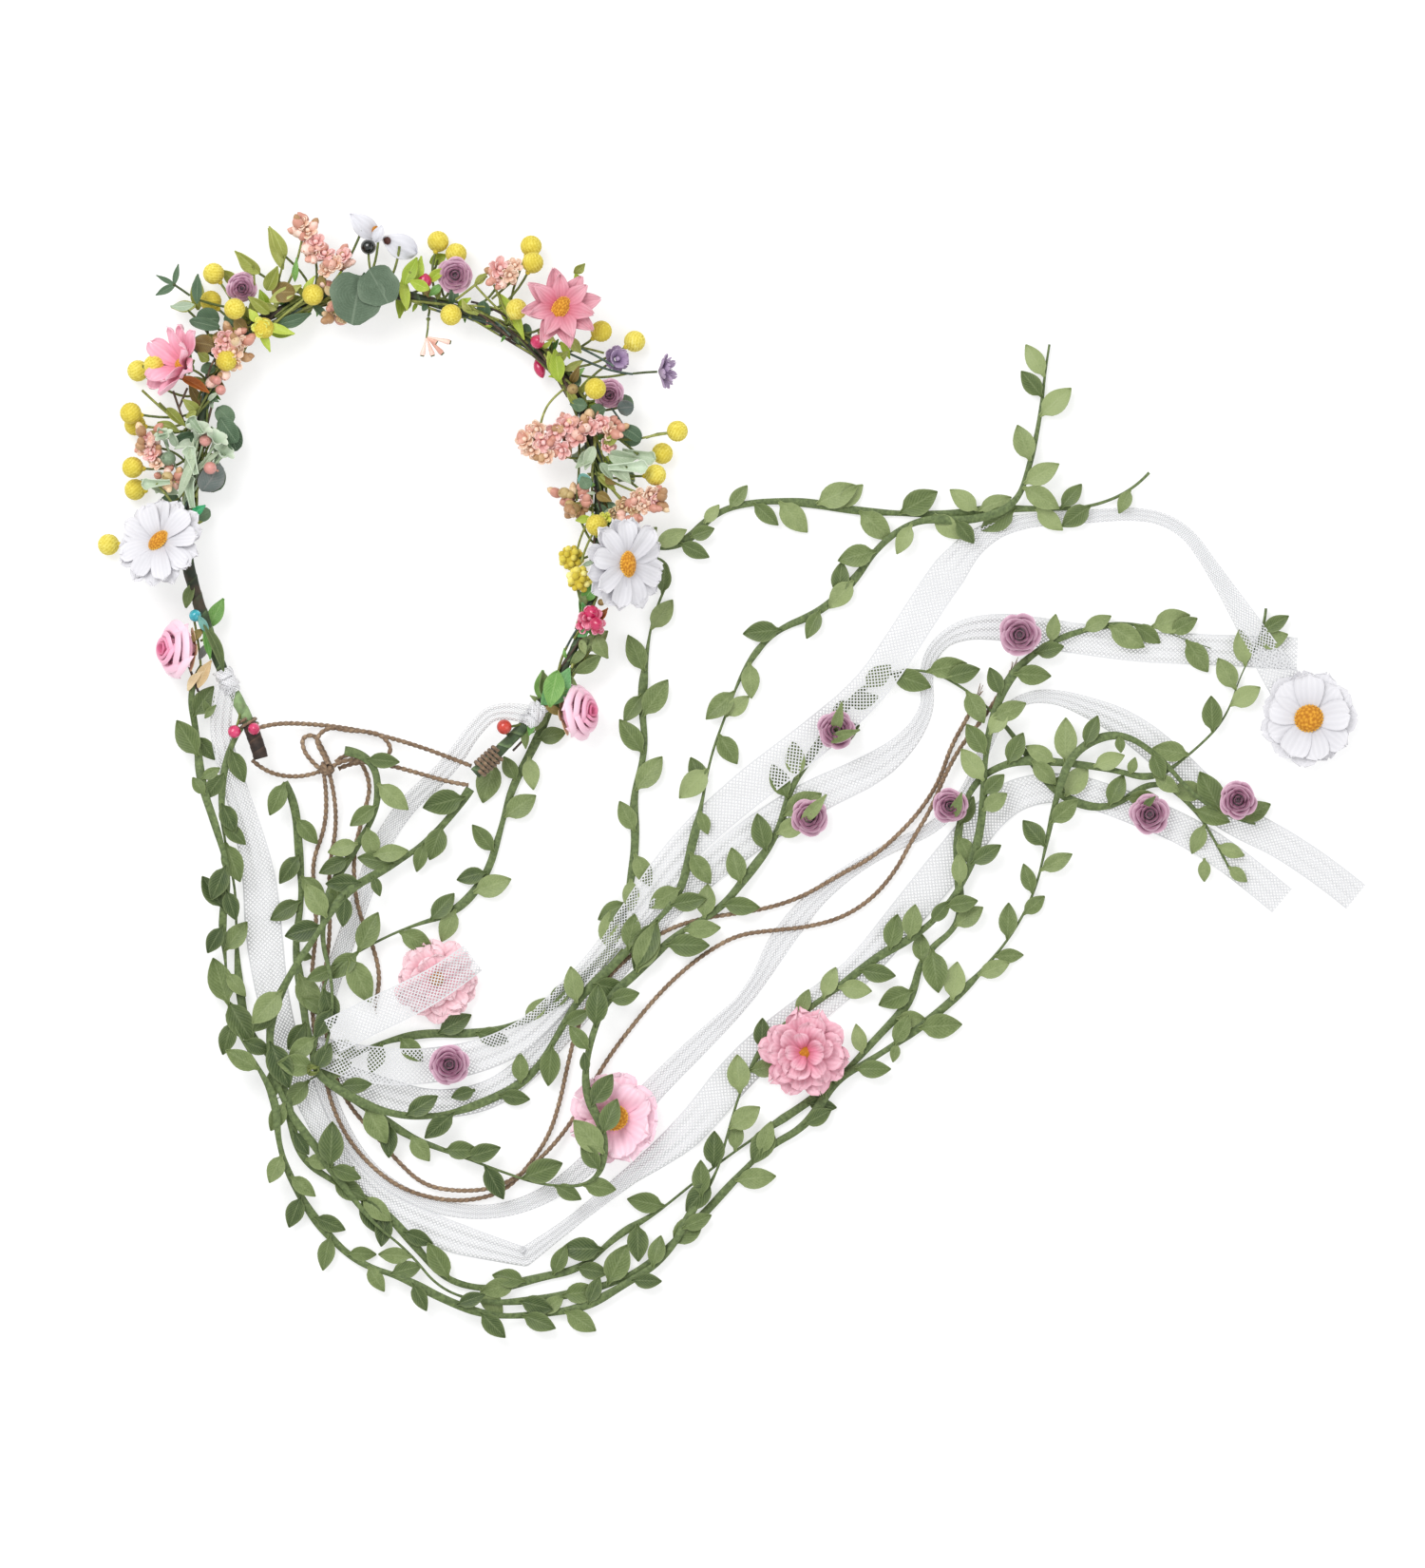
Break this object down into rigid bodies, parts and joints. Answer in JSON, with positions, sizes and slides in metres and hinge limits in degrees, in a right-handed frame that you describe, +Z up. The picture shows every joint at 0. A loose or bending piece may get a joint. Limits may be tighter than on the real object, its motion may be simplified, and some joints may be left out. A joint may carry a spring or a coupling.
{
  "type": "flower crown",
  "caption": "Taped wire flower crown with daisies, roses, berries and leaves, tied with twine and trailing leaf vines and mesh ribbons.",
  "frame": {"origin": "middle of the head opening, on the plane that the crown lies on", "axes": "+Z up out of that plane, +Y towards the front of the crown, -Y towards the tie, +X towards the trail"},
  "size_m": [0.5342, 0.4664, 0.0392],
  "materials": {
    "wire": "drawn steel",
    "tape_green": "crinkled waxed paper tape",
    "tape_brown": "crinkled brown tape",
    "twine": "two-ply jute",
    "mesh": "open cotton-look net",
    "vine": "satin leaf cloth, matte",
    "petal_white": "pressed polyester petals",
    "petal_pink": "pressed polyester petals",
    "button": "flocked yellow",
    "calyx": "moulded green",
    "rose": "rolled mulberry-coloured paper",
    "foam_pink": "foam sheet petals",
    "berry": "flocked, pebbled",
    "bud": "waxy",
    "pink_bud": "glossy",
    "red_bud": "glossy",
    "turquoise": "glossy",
    "black": "glossy",
    "lilac": "soft plastic",
    "eucalyptus": "bloomed grey-green",
    "olive": "moulded leaf",
    "leaf": "moulded leaf",
    "mint": "powdery",
    "blossom_white": "sheer cloth",
    "stem": "paper-wrapped wire"
  },
  "bodies": {
    "crown": {"frame_wire": "wire", "frame_tape": "tape_green", "stub_tape": "tape_brown", "end_binding": "twine", "ribbon_knot_left": "mesh", "ribbon_knot_right": "mesh", "bow_knot": "twine", "bundle_tie": "stem", "twine_upper": "twine", "twine_lower_left": "twine", "twine_lower_right": "twine", "bow_loop_left": "twine", "bow_loop_right": "twine", "twine_tail_1": "twine", "twine_tail_2": "twine", "twine_tail_3": "twine", "vine_1": "vine", "vine_2": "vine", "vine_3": "vine", "vine_4": "vine", "vine_5": "vine", "vine_6": "vine", "vine_7": "vine", "vine_8": "vine", "ribbon_1": "mesh", "ribbon_2": "mesh", "ribbon_3": "mesh", "ribbon_4": "mesh", "ribbon_5": "mesh", "flower_buttons": "button", "flower_calyxes": "calyx", "crown_roses": "rose", "trail_roses": "rose", "foam_roses": "foam_pink", "yellow_berries": "berry", "peach_buds": "bud", "pink_buds": "pink_bud", "red_bud": "red_bud", "turquoise_bead": "turquoise", "black_bead": "black", "lilac_flower": "lilac", "eucalyptus_leaves": "eucalyptus", "olive_leaves": "olive", "green_leaves": "leaf", "mint_leaves": "mint", "white_blossom": "blossom_white", "stem_wires": "stem"},
    "daisy_left_head": {"daisy_left_petals": "petal_white"},
    "daisy_right_head": {"daisy_right_petals": "petal_white"},
    "cosmos_head": {"cosmos_petals": "petal_pink"},
    "side_blossom_head": {"side_blossom_petals": "petal_pink"},
    "blossom_1_head": {"blossom_1_petals": "petal_pink"},
    "blossom_2_head": {"blossom_2_petals": "petal_pink"},
    "blossom_3_head": {"blossom_3_petals": "petal_pink"},
    "daisy_far_head": {"daisy_far_petals": "petal_white"},
    "lilac_spray_body": {"lilac_spray": "lilac"},
    "berry_spray_body": {"berry_spray": "berry"},
    "hanging_sprig_body": {"hanging_sprig": "bud"},
    "eucalyptus_tip_body": {"eucalyptus_tip": "eucalyptus"}
  },
  "joints": [
    {"name": "daisy_left_spin", "type": "hinge", "parent": "crown", "child": "daisy_left_head", "pos_m": [-0.0988, -0.0064, 0.025], "axis": [-0.383, 0.3214, 0.866], "continuous": true},
    {"name": "daisy_right_spin", "type": "hinge", "parent": "crown", "child": "daisy_right_head", "pos_m": [0.0964, -0.0156, 0.026], "axis": [0.5855, -0.0512, 0.809], "continuous": true},
    {"name": "cosmos_spin", "type": "hinge", "parent": "crown", "child": "cosmos_head", "pos_m": [0.0692, 0.0916, 0.027], "axis": [0.121, 0.2095, 0.9703], "continuous": true},
    {"name": "side_blossom_spin", "type": "hinge", "parent": "crown", "child": "side_blossom_head", "pos_m": [-0.0884, 0.0676, 0.0195], "axis": [-0.7686, 0.3584, 0.5299], "continuous": true},
    {"name": "blossom_1_spin", "type": "hinge", "parent": "crown", "child": "blossom_1_head", "pos_m": [0.0172, -0.19, 0.004], "axis": [0, 0, 1], "continuous": true},
    {"name": "blossom_2_spin", "type": "hinge", "parent": "crown", "child": "blossom_2_head", "pos_m": [0.092, -0.2484, 0.00767], "axis": [0, 0, 1], "continuous": true},
    {"name": "blossom_3_spin", "type": "hinge", "parent": "crown", "child": "blossom_3_head", "pos_m": [0.172, -0.2208, 0.00965], "axis": [0, 0, 1], "continuous": true},
    {"name": "daisy_far_spin", "type": "hinge", "parent": "crown", "child": "daisy_far_head", "pos_m": [0.3844, -0.0804, 0.004], "axis": [0, 0, 1], "continuous": true},
    {"name": "lilac_spray_bend", "type": "hinge", "parent": "crown", "child": "lilac_spray_body", "pos_m": [0.0988, 0.0648, 0.014], "axis": [0, 0, 1], "range_deg": [-15, 15]},
    {"name": "berry_spray_bend", "type": "hinge", "parent": "crown", "child": "berry_spray_body", "pos_m": [0.1044, 0.0376, 0.014], "axis": [0, 0, 1], "range_deg": [-15, 15]},
    {"name": "hanging_sprig_bend", "type": "hinge", "parent": "crown", "child": "hanging_sprig_body", "pos_m": [0.0136, 0.0876, 0.012], "axis": [0, 0, 1], "range_deg": [-15, 15]},
    {"name": "eucalyptus_tip_bend", "type": "hinge", "parent": "crown", "child": "eucalyptus_tip_body", "pos_m": [-0.0856, 0.0968, 0.014], "axis": [0, 0, 1], "range_deg": [-12, 12]}
  ]
}
